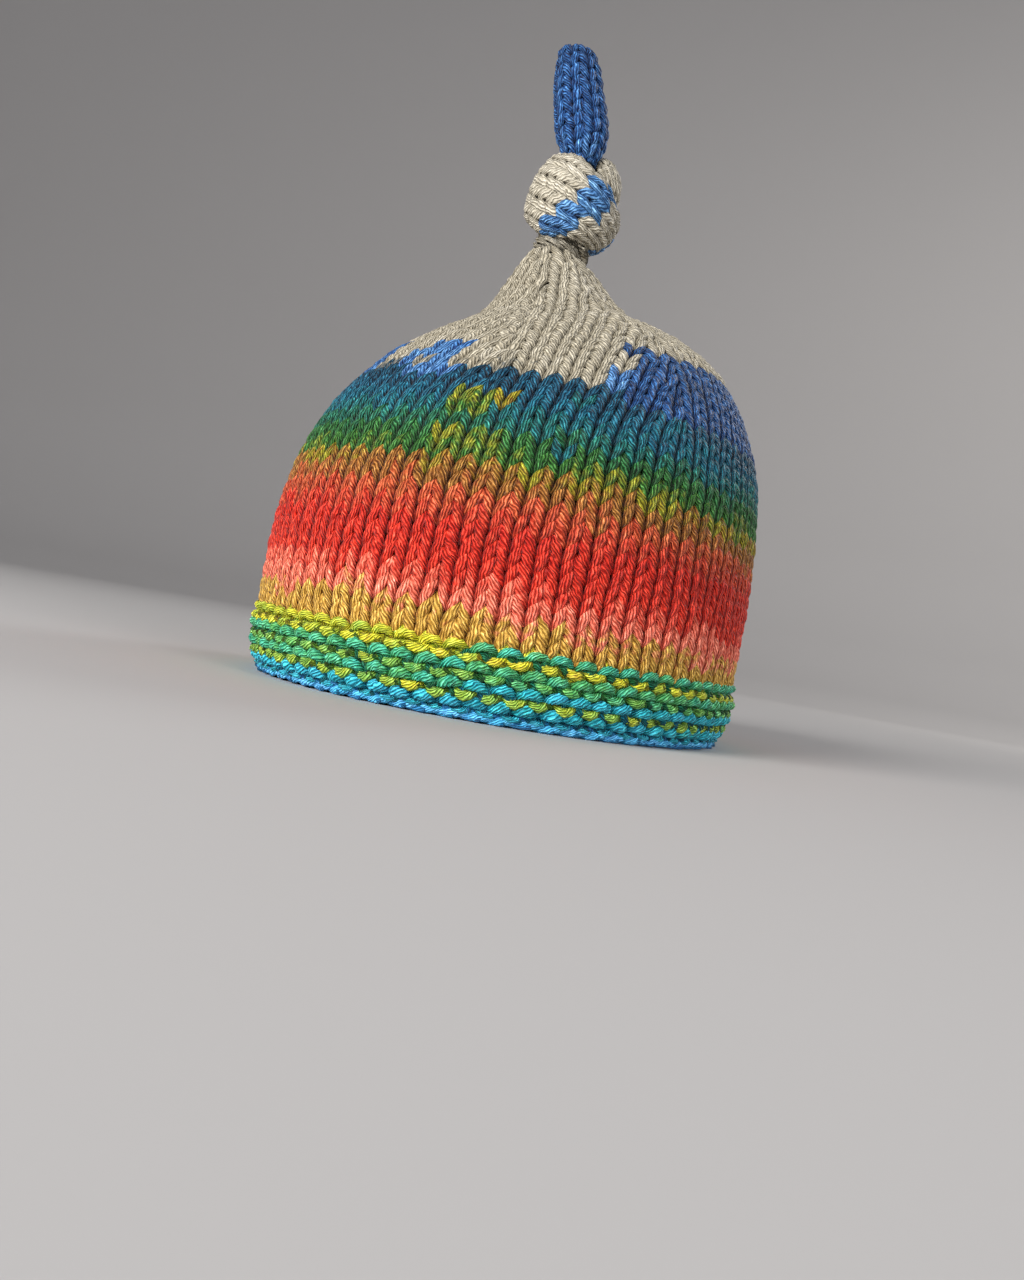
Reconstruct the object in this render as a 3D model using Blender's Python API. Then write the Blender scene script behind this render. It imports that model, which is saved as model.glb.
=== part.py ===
# Top knot beanie, knitted in one piece from the brim up and tied off in an overhand knot.
# Metres, +Z up, resting on its rim. The origin is the middle of the rim, on the surface that it rests on.
# The wearer's forehead faces -Y, and +X is to the right as the forehead is looked at.
import math

import bmesh
import bpy
from mathutils import Matrix, Vector

# Driving dimensions, in metres
BRIM_WIDTH = 0.1765
BRIM_DEPTH = 0.2035
BRIM_HEIGHT = 0.0215
BRIM_THICKNESS = 0.0055
BRIM_RIDGES = 4
RIDGE_DEPTH = 0.0014
CAST_ON_HEIGHT = 0.0034
CAST_ON_THICKNESS = 0.0052
CAST_ON_ROUNDING = 0.0011
CROWN_TOP = 0.141
CROWN_THICKNESS = 0.0045
CROWN_LEAN = 0.0045
SHOULDER_SLACK = 0.009
NECK_TOP = 0.1725
NECK_DIAMETER = 0.0215
NECK_WALL = 0.0038
NECK_OFFSET = 0.0065
GATHERS = 8
GATHER_DEPTH = 0.0011
KNOT_WIDTH = 0.037
KNOT_DEPTH = 0.037
KNOT_HEIGHT = 0.0415
KNOT_OFFSET = 0.0037
TAIL_LENGTH = 0.0465
TAIL_WIDTH = 0.0225
TAIL_DEPTH = 0.0195
TAIL_LEAN = 0.0085
GAP = 0.0003

# The top leans to and fro along this line across the head, which is turned from +X towards +Y
LEAN_ANGLE = math.radians(25)
LEAN_LINE = Vector((math.cos(LEAN_ANGLE), math.sin(LEAN_ANGLE), 0))
AWAY_LINE = Vector((-math.sin(LEAN_ANGLE), math.cos(LEAN_ANGLE), 0))

# The slack swells out on this side of the crown, and rises this much more than it spreads
SLACK_ANGLE = LEAN_ANGLE - math.radians(5)
SLACK_LIFT = 1.5

# Facets round each piece
HEAD_SEGMENTS = 56
STRAND_SEGMENTS = 20
TAIL_SEGMENTS = 28
RIDGE_STEPS = 4

# The knot's turns are pressed into one body on a grid of this size, and this share of its faces is kept
KNOT_FINENESS = 0.0011
KNOT_FACES_KEPT = 0.16
KNOT_STEPS = 6
PRESS_CLEARANCE = 0.0018

# Rows of the brim: share of the brim's height, and share of its full girth
BRIM_SECTIONS = (
    {"rise": 0.00, "girth": 0.960},
    {"rise": 0.18, "girth": 0.982},
    {"rise": 0.38, "girth": 0.995},
    {"rise": 0.60, "girth": 1.000},
    {"rise": 0.82, "girth": 1.000},
    {"rise": 1.00, "girth": 0.994},
)

# Rows of the crown: share of the way from brim to peak, shares of the brim's width and depth, share of the lean,
# and share of the slack that swells out at the right shoulder
CROWN_SECTIONS = (
    {"rise": 0.000, "width": 0.985, "depth": 0.985, "lean": 0.00, "slack": 0.00},
    {"rise": 0.110, "width": 0.988, "depth": 0.988, "lean": 0.00, "slack": 0.00},
    {"rise": 0.250, "width": 0.986, "depth": 0.985, "lean": 0.05, "slack": 0.00},
    {"rise": 0.390, "width": 0.970, "depth": 0.966, "lean": 0.20, "slack": 0.00},
    {"rise": 0.500, "width": 0.945, "depth": 0.936, "lean": 0.45, "slack": 0.02},
    {"rise": 0.590, "width": 0.913, "depth": 0.898, "lean": 0.70, "slack": 0.06},
    {"rise": 0.665, "width": 0.873, "depth": 0.850, "lean": 0.90, "slack": 0.14},
    {"rise": 0.732, "width": 0.820, "depth": 0.790, "lean": 1.00, "slack": 0.30},
    {"rise": 0.800, "width": 0.750, "depth": 0.714, "lean": 1.00, "slack": 0.55},
    {"rise": 0.858, "width": 0.670, "depth": 0.630, "lean": 0.92, "slack": 0.80},
    {"rise": 0.910, "width": 0.580, "depth": 0.540, "lean": 0.75, "slack": 1.00},
    {"rise": 0.956, "width": 0.488, "depth": 0.448, "lean": 0.50, "slack": 1.00},
    {"rise": 1.000, "width": 0.400, "depth": 0.362, "lean": 0.25, "slack": 0.85},
)

# Rows of the peak: share of the way from crown to knot, how much of the flare is left, how deep the gathers are
PEAK_SECTIONS = (
    {"rise": 0.00, "flare": 1.00, "gather": 0.0},
    {"rise": 0.08, "flare": 0.87, "gather": 0.2},
    {"rise": 0.18, "flare": 0.74, "gather": 0.5},
    {"rise": 0.32, "flare": 0.60, "gather": 0.8},
    {"rise": 0.49, "flare": 0.46, "gather": 1.0},
    {"rise": 0.66, "flare": 0.32, "gather": 1.0},
    {"rise": 0.84, "flare": 0.17, "gather": 0.8},
    {"rise": 1.00, "flare": 0.00, "gather": 0.5},
)

# The strand's way through the knot: shares of half its width, half its depth and its height from its foot, and the
# strand's own width and thickness as shares of the neck's diameter. It rises at the back right, passes over the
# back to the left, comes down across the front, goes round the back once more and up through the middle.
KNOT_PATH = (
    {"across": -0.15, "away": 0.00, "rise": 0.00, "width": 1.00, "thickness": 1.00},
    {"across": 0.00, "away": 0.08, "rise": 0.22, "width": 0.90, "thickness": 0.84},
    {"across": 0.40, "away": 0.14, "rise": 0.42, "width": 0.86, "thickness": 0.62},
    {"across": 0.59, "away": 0.18, "rise": 0.68, "width": 1.00, "thickness": 0.56},
    {"across": 0.46, "away": 0.46, "rise": 0.85, "width": 0.98, "thickness": 0.62},
    {"across": -0.10, "away": 0.66, "rise": 0.79, "width": 1.08, "thickness": 0.60},
    {"across": -0.56, "away": 0.34, "rise": 0.69, "width": 1.10, "thickness": 0.58},
    {"across": -0.67, "away": -0.14, "rise": 0.58, "width": 1.34, "thickness": 0.56},
    {"across": -0.34, "away": -0.60, "rise": 0.46, "width": 1.46, "thickness": 0.56},
    {"across": 0.15, "away": -0.70, "rise": 0.36, "width": 1.26, "thickness": 0.56},
    {"across": 0.54, "away": -0.36, "rise": 0.28, "width": 0.96, "thickness": 0.54},
    {"across": 0.56, "away": 0.22, "rise": 0.29, "width": 0.88, "thickness": 0.54},
    {"across": 0.18, "away": 0.58, "rise": 0.34, "width": 1.06, "thickness": 0.56},
    {"across": -0.24, "away": 0.34, "rise": 0.50, "width": 1.00, "thickness": 0.74},
    {"across": -0.14, "away": 0.02, "rise": 0.68, "width": 0.98, "thickness": 0.90},
    {"across": -0.06, "away": 0.00, "rise": 0.87, "width": 0.80, "thickness": 0.74},
)

# Rows of the tail: share of its length, share of its full width, share of its lean
TAIL_SECTIONS = (
    {"rise": 0.00, "girth": 0.60, "lean": 0.00},
    {"rise": 0.08, "girth": 0.72, "lean": 0.02},
    {"rise": 0.15, "girth": 0.86, "lean": 0.06},
    {"rise": 0.23, "girth": 0.96, "lean": 0.13},
    {"rise": 0.33, "girth": 1.00, "lean": 0.24},
    {"rise": 0.46, "girth": 0.98, "lean": 0.42},
    {"rise": 0.62, "girth": 0.93, "lean": 0.63},
    {"rise": 0.76, "girth": 0.86, "lean": 0.80},
    {"rise": 0.87, "girth": 0.75, "lean": 0.92},
    {"rise": 0.95, "girth": 0.55, "lean": 0.98},
    {"rise": 1.00, "girth": 0.24, "lean": 1.00},
)


def clear_scene():
    for obj in list(bpy.data.objects):
        bpy.data.objects.remove(obj)


def yarn_material(name, colour):
    """Matt knitting yarn of one shade."""
    material = bpy.data.materials.new(name)
    material.use_nodes = True
    shader = material.node_tree.nodes["Principled BSDF"]
    shader.inputs["Base Color"].default_value = (*colour, 1)
    shader.inputs["Roughness"].default_value = 0.85
    shader.inputs["Metallic"].default_value = 0
    return material


def oval(half_width, half_depth, height, centre=Vector((0, 0, 0)), segments=HEAD_SEGMENTS):
    """One ring of points round an upright axis."""
    ring = []
    for i in range(segments):
        angle = 2 * math.pi * i / segments
        across = Vector((half_width * math.cos(angle), half_depth * math.sin(angle), 0))
        ring.append(Vector((centre.x, centre.y, height)) + across)
    return ring


def skin(name, rings, material, closed_up=True):
    """A solid whose surface runs through the rings in order, and either back to the first one or over two caps."""
    mesh = bpy.data.meshes.new(name)
    build = bmesh.new()
    loops = [[build.verts.new(point) for point in ring] for ring in rings]
    count = len(loops[0])
    pairs = list(zip(loops, loops[1:]))
    if closed_up:
        pairs.append((loops[-1], loops[0]))
    for low, high in pairs:
        for i in range(count):
            k = (i + 1) % count
            build.faces.new((low[i], low[k], high[k], high[i]))
    if not closed_up:
        build.faces.new(loops[0])
        build.faces.new(loops[-1])
    bmesh.ops.recalc_face_normals(build, faces=build.faces)
    build.to_mesh(mesh)
    build.free()
    mesh.shade_smooth()
    mesh.set_sharp_from_angle(angle=math.radians(50))
    mesh.materials.append(material)
    obj = bpy.data.objects.new(name, mesh)
    bpy.context.scene.collection.objects.link(obj)
    return obj


def between(rows, rise, column):
    """The value of a column of a table at a share of the height, by straight lines between its rows."""
    for low, high in zip(rows, rows[1:]):
        if rise <= high["rise"]:
            step = (rise - low["rise"]) / (high["rise"] - low["rise"])
            return low[column] + step * (high[column] - low[column])
    return rows[-1][column]


def brim_half(rise):
    """Half the brim's width and depth at a share of its height, to the valleys between its ridges."""
    girth = between(BRIM_SECTIONS, rise, "girth")
    return girth * BRIM_WIDTH / 2 - RIDGE_DEPTH, girth * BRIM_DEPTH / 2 - RIDGE_DEPTH


def make_cast_on_edge():
    """The cast-on strand under the brim, pressed flat where the hat rests."""
    width, depth = brim_half(0)
    top = CAST_ON_HEIGHT
    soft = CAST_ON_ROUNDING
    inner = -CAST_ON_THICKNESS
    outline = (
        (inner + soft, 0),
        (-soft, 0),
        (0, soft),
        (0, top - soft),
        (-soft, top),
        (inner + soft, top),
        (inner, top - soft),
        (inner, soft),
    )
    rings = [oval(width + out, depth + out, height) for out, height in outline]
    skin("cast_on_edge", rings, yarn_material("sky_blue_yarn", (0.16, 0.42, 0.80)))


def make_garter_brim():
    """The garter band: a wall whose outer side stands in ridges, one for every two rounds."""
    bottom = CAST_ON_HEIGHT + GAP
    height = BRIM_HEIGHT - bottom
    outer = []
    for i in range(BRIM_RIDGES * RIDGE_STEPS + 1):
        rise = i / (BRIM_RIDGES * RIDGE_STEPS)
        width, depth = brim_half(rise)
        out = RIDGE_DEPTH * (1 - math.cos(2 * math.pi * i / RIDGE_STEPS)) / 2
        outer.append(oval(width + out, depth + out, bottom + rise * height))
    inner = []
    for row in reversed(BRIM_SECTIONS):
        width, depth = brim_half(row["rise"])
        inner.append(oval(width - BRIM_THICKNESS, depth - BRIM_THICKNESS, bottom + row["rise"] * height))
    skin("garter_brim", outer + inner, yarn_material("turquoise_yarn", (0.03, 0.37, 0.36)))


def crown_half(row):
    """Half the crown's width and depth at one of its rows."""
    return row["width"] * BRIM_WIDTH / 2, row["depth"] * BRIM_DEPTH / 2


def swell(ring, amount):
    """Push a ring out and up on the side where the knitting is slack."""
    swollen = []
    for i, point in enumerate(ring):
        angle = 2 * math.pi * i / len(ring)
        away = Vector((math.cos(angle), math.sin(angle), SLACK_LIFT)).normalized()
        side = (1 + math.cos(angle - SLACK_ANGLE)) / 2
        swollen.append(point + away * amount * side ** 2)
    return swollen


def crown_ring(row):
    bottom = BRIM_HEIGHT + GAP
    height = bottom + row["rise"] * (CROWN_TOP - bottom)
    width, depth = crown_half(row)
    ring = oval(width, depth, height, LEAN_LINE * CROWN_LEAN * row["lean"])
    return swell(ring, SHOULDER_SLACK * row["slack"])


def neck_middle():
    """Where the neck ends and the knot begins."""
    return Vector((0, 0, NECK_TOP)) - LEAN_LINE * NECK_OFFSET


def peak_ring(row):
    """A ring of the peak, which goes from the crown's oval to the round neck and is drawn into gathers."""
    last = CROWN_SECTIONS[-1]
    crown_width, crown_depth = crown_half(last)
    neck = NECK_DIAMETER / 2
    flare = row["flare"]
    width = neck + flare * (crown_width - neck)
    depth = neck + flare * (crown_depth - neck)
    height = CROWN_TOP + row["rise"] * (NECK_TOP - GAP - CROWN_TOP)
    start = LEAN_LINE * CROWN_LEAN * last["lean"]
    centre = start.lerp(neck_middle(), 1 - flare)
    ring = oval(width, depth, height, centre)
    ring = swell(ring, SHOULDER_SLACK * last["slack"] * flare ** 2)
    middle = Vector((centre.x, centre.y, height))
    for i, point in enumerate(ring):
        fold = math.cos(2 * math.pi * GATHERS * i / len(ring))
        away = (point - middle).normalized()
        ring[i] = point + away * (GATHER_DEPTH * row["gather"] * (fold - 1) / 2)
    return ring


def inside(rings, walls):
    """The inner side of a wall, moved in square to its outer side, but level at its two ends."""
    inner = []
    for i, (ring, wall) in enumerate(zip(rings, walls)):
        below, above = rings[max(i - 1, 0)], rings[min(i + 1, len(rings) - 1)]
        moved = []
        for k, point in enumerate(ring):
            along = ring[(k + 1) % len(ring)] - ring[k - 1]
            outward = along.cross(above[k] - below[k])
            if i in (0, len(rings) - 1):
                outward.z = 0
            moved.append(point - outward.normalized() * wall)
        inner.append(moved)
    return inner


def make_crown_and_peak():
    """The stockinette crown, an open dome, and the gathered cream cone that it is drawn up into.

    They are one wall, parted square to its outer side where the yarn changes."""
    crown_rows = len(CROWN_SECTIONS)
    outer = [crown_ring(row) for row in CROWN_SECTIONS] + [peak_ring(row) for row in PEAK_SECTIONS[1:]]
    walls = [CROWN_THICKNESS] * crown_rows + [NECK_WALL] * (len(PEAK_SECTIONS) - 1)
    inner = inside(outer, walls)
    crown = outer[:crown_rows] + inner[:crown_rows][::-1]
    skin("crown", crown, yarn_material("red_yarn", (0.62, 0.05, 0.03)))
    lift = Vector((0, 0, GAP))
    peak = outer[crown_rows - 1:] + inner[crown_rows - 1:][::-1]
    lifted = [[point + lift for point in ring] for ring in peak]
    skin("peak", lifted, yarn_material("cream_yarn", (0.68, 0.60, 0.45)))


def knot_point(row):
    """The place of a row of the knot's path, which is set out from the middle of the knot's foot."""
    foot = neck_middle() + LEAN_LINE * KNOT_OFFSET
    across = LEAN_LINE * (row["across"] * KNOT_WIDTH / 2)
    away = AWAY_LINE * (row["away"] * KNOT_DEPTH / 2)
    return foot + across + away + Vector((0, 0, GAP + row["rise"] * KNOT_HEIGHT))


def spline(before, start, end, after, step):
    """A point of the smooth curve through four values, between the middle two."""
    return (
        start * 2
        + (end - before) * step
        + (before * 2 - start * 5 + end * 4 - after) * step ** 2
        + (start * 3 - before - end * 3 + after) * step ** 3
    ) / 2


def knot_stations():
    """Places close together along the knot's path, each with the strand's width and thickness there."""
    upright = Vector((0, 0, KNOT_HEIGHT))
    points = [knot_point(row) for row in KNOT_PATH]
    points[0] = neck_middle() + Vector((0, 0, GAP))
    points = [points[0] - upright] + points + [points[-1] + upright]
    widths = [row["width"] * NECK_DIAMETER for row in KNOT_PATH]
    thicknesses = [row["thickness"] * NECK_DIAMETER for row in KNOT_PATH]
    stations = []
    for i in range(len(KNOT_PATH) - 1):
        for k in range(KNOT_STEPS):
            step = k / KNOT_STEPS
            point = spline(*points[i:i + 4], step)
            ease = step * step * (3 - 2 * step)
            width = widths[i] + (widths[i + 1] - widths[i]) * ease
            thickness = thicknesses[i] + (thicknesses[i + 1] - thicknesses[i]) * ease
            stations.append((point, width, thickness))
    stations.append((points[-2], widths[-1], thicknesses[-1]))
    return stations


def tail_middle(rise):
    """The middle of the tail at a share of its length."""
    seat = knot_point(KNOT_PATH[-1]) + Vector((0, 0, GAP))
    lean = between(TAIL_SECTIONS, rise, "lean")
    return seat - LEAN_LINE * TAIL_LEAN * lean + Vector((0, 0, rise * TAIL_LENGTH))


def beside_tail(spot):
    """A point of the knot, moved out where it would be inside the tail's foot or closer to it than the clearance."""
    rise = (spot.z - tail_middle(0).z) / TAIL_LENGTH
    if rise < -PRESS_CLEARANCE / TAIL_LENGTH:
        return spot
    rise = max(rise, 0)
    girth = between(TAIL_SECTIONS, rise, "girth")
    offset = spot - tail_middle(rise)
    across = offset.dot(LEAN_LINE) / (girth * TAIL_WIDTH / 2 + PRESS_CLEARANCE)
    away = offset.dot(AWAY_LINE) / (girth * TAIL_DEPTH / 2 + PRESS_CLEARANCE)
    reach = math.hypot(across, away)
    if reach >= 1:
        return spot
    return spot + Vector((offset.x, offset.y, 0)) * (1 / reach - 1)


def make_knot():
    """The overhand knot, tied in the knitted tube and drawn tight, so its turns press into one body.

    Its lowest turn lies flat on the neck, and its highest ones press against the tail's foot."""
    stations = knot_stations()
    foot = stations[0][0].z
    middle = knot_point({"across": 0, "away": 0, "rise": 0.5})
    upright = Vector((0, 0, 1))
    rings = []
    for i, (point, width, thickness) in enumerate(stations):
        ends = stations[max(i - 1, 0)][0], stations[min(i + 1, len(stations) - 1)][0]
        along = (ends[1] - ends[0]).normalized()
        if i in (0, len(stations) - 1):
            along = upright
        outward = point - middle
        outward = (outward - along * outward.dot(along)).normalized()
        side = along.cross(outward)
        ring = []
        for k in range(STRAND_SEGMENTS):
            angle = 2 * math.pi * k / STRAND_SEGMENTS
            across = side * (width / 2 * math.cos(angle))
            spot = point + across + outward * (thickness / 2 * math.sin(angle))
            spot.z = max(spot.z, foot)
            ring.append(beside_tail(spot))
        rings.append(ring)
    knot = skin("knot", rings, yarn_material("pale_cream_yarn", (0.72, 0.68, 0.56)), closed_up=False)
    press = knot.modifiers.new("press_together", "REMESH")
    press.mode = "VOXEL"
    press.voxel_size = KNOT_FINENESS
    press.use_smooth_shade = True
    fewer = knot.modifiers.new("fewer_faces", "DECIMATE")
    fewer.ratio = KNOT_FACES_KEPT


def make_tail():
    """The end of the knitted tube, closed at its tip and squeezed shut at its foot, where it comes out of the knot."""
    turn = Matrix.Rotation(LEAN_ANGLE, 4, "Z")
    rings = []
    for row in TAIL_SECTIONS:
        flat = oval(row["girth"] * TAIL_WIDTH / 2, row["girth"] * TAIL_DEPTH / 2, 0, segments=TAIL_SEGMENTS)
        rings.append([turn @ point + tail_middle(row["rise"]) for point in flat])
    skin("tail", rings, yarn_material("blue_yarn", (0.05, 0.16, 0.55)), closed_up=False)


clear_scene()
make_cast_on_edge()
make_garter_brim()
make_crown_and_peak()
make_knot()
make_tail()
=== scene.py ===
# Top knot beanie: the knitting itself, stitch by stitch, laid over the hat's solid form.
# Metres, +Z up, resting on its rim. The hat's front faces -Y.
import math

import bmesh
import bpy
import numpy as np
from mathutils import Matrix, Vector


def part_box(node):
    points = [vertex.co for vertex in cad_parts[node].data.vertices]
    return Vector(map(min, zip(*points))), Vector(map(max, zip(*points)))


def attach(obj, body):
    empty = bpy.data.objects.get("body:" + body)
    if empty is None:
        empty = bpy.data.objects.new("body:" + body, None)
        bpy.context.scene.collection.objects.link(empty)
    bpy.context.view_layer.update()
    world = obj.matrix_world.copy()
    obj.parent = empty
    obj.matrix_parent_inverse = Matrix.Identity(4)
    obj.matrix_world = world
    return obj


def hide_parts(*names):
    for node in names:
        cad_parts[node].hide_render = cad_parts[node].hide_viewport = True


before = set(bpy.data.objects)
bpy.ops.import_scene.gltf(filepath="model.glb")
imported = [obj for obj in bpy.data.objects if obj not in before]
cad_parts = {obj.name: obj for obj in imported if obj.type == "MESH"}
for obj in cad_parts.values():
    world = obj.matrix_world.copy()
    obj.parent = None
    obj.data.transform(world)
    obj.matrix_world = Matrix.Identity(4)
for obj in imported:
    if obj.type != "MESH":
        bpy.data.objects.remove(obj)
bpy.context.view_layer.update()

# Camera: held low in front of the hat and a little to the right, just above the surface that the hat rests
# on. It is turned and tipped, and its lens is the wide one of a phone.
CAMERA_PLACE = Vector((0.16501, -0.35275, 0.02529))
CAMERA_AZIMUTH = math.radians(25.07)
CAMERA_RISE = math.radians(-8.4)
CAMERA_YAW = math.radians(-0.462)
CAMERA_PITCH = math.radians(-8.330)
CAMERA_ROLL = math.radians(10.35)
CAMERA_LENS = 28.575

sight = bpy.data.cameras.new("camera")
sight.lens = CAMERA_LENS
sight.sensor_width = 36
sight.sensor_fit = "AUTO"
sight.clip_start = 0.01
sight.clip_end = 50
camera = bpy.data.objects.new("camera", sight)
bpy.context.scene.collection.objects.link(camera)
facing = Matrix.Rotation(CAMERA_AZIMUTH, 4, "Z") @ Matrix.Rotation(math.pi / 2 - CAMERA_RISE, 4, "X")
turned = Matrix.Rotation(CAMERA_YAW, 4, "Y") @ Matrix.Rotation(CAMERA_PITCH, 4, "X")
rolled = Matrix.Rotation(CAMERA_ROLL, 4, "Z")
camera.matrix_world = Matrix.Translation(CAMERA_PLACE) @ facing @ turned @ rolled
bpy.context.scene.camera = camera

# Floor: a seamless sheet of pale matt paper that runs up into a wall all round, so that no view has a
# horizon. Each step of the sweep goes this far out and this far up.
FLOOR_RADIUS = 2.0
FLOOR_SIDES = 96
SWEEP = ((0.55, 0.05), (0.35, 0.16), (0.20, 0.32), (0.08, 0.48), (0.0, 3.2))
PAPER_TONE = (0.52, 0.51, 0.51, 1)
PAPER_ROUGHNESS = 0.9
PAPER_SHINE = 0.2

bpy.ops.object.select_all(action="DESELECT")
bpy.ops.mesh.primitive_circle_add(vertices=FLOOR_SIDES, radius=FLOOR_RADIUS, fill_type="NGON")
floor = bpy.context.active_object
floor.name = "floor"
bpy.ops.object.mode_set(mode="EDIT")
bpy.ops.mesh.select_mode(type="EDGE")
bpy.ops.mesh.select_all(action="SELECT")
bpy.ops.mesh.region_to_loop()
radius = FLOOR_RADIUS
for out, up in SWEEP:
    bpy.ops.mesh.extrude_edges_move(TRANSFORM_OT_translate={"value": (0, 0, up)})
    bpy.ops.transform.resize(value=((radius + out) / radius, (radius + out) / radius, 1))
    radius += out
bpy.ops.mesh.select_all(action="SELECT")
bpy.ops.mesh.normals_make_consistent(inside=True)
bpy.ops.object.mode_set(mode="OBJECT")
bpy.ops.object.shade_smooth()
paper = bpy.data.materials.new("pale_paper")
paper.use_nodes = True
paper_shader = paper.node_tree.nodes["Principled BSDF"]
paper_shader.inputs["Base Color"].default_value = PAPER_TONE
paper_shader.inputs["Roughness"].default_value = PAPER_ROUGHNESS
paper_shader.inputs["Specular IOR Level"].default_value = PAPER_SHINE
floor.data.materials.append(paper)

# Light: a large soft lamp low in front on the left, as a window would be, weaker ones on the right and
# behind, and a pale sky. The two lamps in front point at the hat, so that the floor under them isn't
# bleached.
LAMPS = (
    {"kind": "SPOT", "place": (-0.45, -1.60, 0.75), "size": 0.45, "watts": 142.0, "tone": (1.0, 0.98, 0.95)},
    {"kind": "SPOT", "place": (1.50, -0.80, 0.70), "size": 0.40, "watts": 34.0, "tone": (0.94, 0.96, 1.0)},
    {"kind": "POINT", "place": (0.60, 1.60, 1.30), "size": 0.40, "watts": 40.0, "tone": (1.0, 0.97, 0.93)},
)
BEAM = math.radians(140)
AIM = Vector((0, 0, 0.12))
SKY_TONE = (0.93, 0.95, 1.0, 1)
SKY_STRENGTH = 0.33

for lamp in LAMPS:
    light = bpy.data.lights.new("lamp", lamp["kind"])
    if lamp["kind"] == "SPOT":
        light.spot_size = BEAM
        light.spot_blend = 1.0
    light.shadow_soft_size = lamp["size"]
    light.energy = lamp["watts"]
    light.color = lamp["tone"]
    holder = bpy.data.objects.new("lamp", light)
    holder.location = lamp["place"]
    holder.rotation_euler = (AIM - Vector(lamp["place"])).to_track_quat("-Z", "Y").to_euler()
    holder.visible_camera = False
    bpy.context.scene.collection.objects.link(holder)
sky = bpy.data.worlds.new("sky")
sky.use_nodes = True
sky.node_tree.nodes["Background"].inputs["Color"].default_value = SKY_TONE
sky.node_tree.nodes["Background"].inputs["Strength"].default_value = SKY_STRENGTH
bpy.context.scene.world = sky
bpy.context.scene.view_settings.view_transform = "Standard"

# Cast-on edge: the first strand of the knitting, sky blue, wound over the needle, so that it lies along the
# rim in slanted lengths, one to a stitch. The hat rests on them.
RIM_LOW, RIM_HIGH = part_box("garter_brim")
RIM_WIDTH = RIM_HIGH.x - RIM_LOW.x
RIM_DEPTH = RIM_HIGH.y - RIM_LOW.y
BRIM_TOP = RIM_HIGH.z
BRIM_FOOT = RIM_LOW.z
STITCHES = 72
STITCH = 0.0082
ROW = 0.0049
MILLIMETRES = 1000
RANDOM = np.random.default_rng(11)

# The dyer's colour run: how far up the knitting each shade comes, in millimetres from the brim's top
DYES = (
    (-21.0, (92, 176, 232)),
    (-18.0, (58, 176, 216)),
    (-14.0, (38, 172, 190)),
    (-11.0, (52, 172, 144)),
    (-8.0, (86, 172, 84)),
    (-5.0, (146, 182, 58)),
    (-2.5, (224, 216, 44)),
    (-1.5, (206, 156, 66)),
    (8.5, (196, 150, 60)),
    (10.5, (236, 122, 96)),
    (16.5, (236, 104, 80)),
    (20.0, (208, 44, 26)),
    (34.0, (192, 34, 20)),
    (39.5, (188, 62, 36)),
    (44.0, (186, 80, 42)),
    (47.0, (148, 90, 34)),
    (51.5, (134, 86, 30)),
    (54.0, (142, 134, 24)),
    (57.5, (46, 98, 32)),
    (64.0, (30, 88, 44)),
    (69.0, (20, 92, 84)),
    (75.0, (18, 88, 110)),
    (80.5, (16, 70, 96)),
    (89.0, (14, 58, 82)),
    (91.5, (166, 157, 136)),
    (101.0, (176, 168, 149)),
    (108.0, (208, 201, 184)),
    (116.0, (96, 150, 204)),
    (124.0, (40, 88, 150)),
    (133.0, (16, 50, 94)),
    (141.0, (14, 42, 80)),
)
DYE_FIRST = DYES[0][0]
DYE_RUN = DYES[-1][0] - DYE_FIRST

# The yarn: its plies and how far they take to wind round it, and the fineness of its blended dye, of the
# plies' own wavering, of its fibres and of its mottling
PLIES = 9
PLY_LENGTH = 0.022
PLY_DEPTH = 0.0005
PLY_ROUNDNESS = 0.6
PLY_WAVER = 1.7
BLEND_SCALE = 420
WAVER_SCALE = 380
MOTTLE_SCALE = 520
FIBRE_SCALE = 2.0
FIBRE_STRETCH = {"phase": 2.6, "along": 260, "dye": 3.7}

# How much the painted highlights on the ply ridges and shade between them, the painted shade in the grooves
# between stitches, the painted glints and shade of the fibres and the mottling lighten or darken it, and what
# one step of that does to the colour's depth and brightness
RIDGE_LIGHT = 0.85
SHADE = -0.45
GROOVE_LIGHT = -1.3
FIBRE_LIGHT = 3.0
MOTTLE_LIGHT = 1.8
DEEPENING = 1.6
BRIGHTENING = 2.6
SHEEN_TONE = (1.0, 0.97, 0.92, 1)


def linear(shade):
    """A screen colour as the shader's linear one."""
    parts = [value / 255 for value in shade]
    return (*[part / 12.92 if part <= 0.04045 else ((part + 0.055) / 1.055) ** 2.4 for part in parts], 1)


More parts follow.
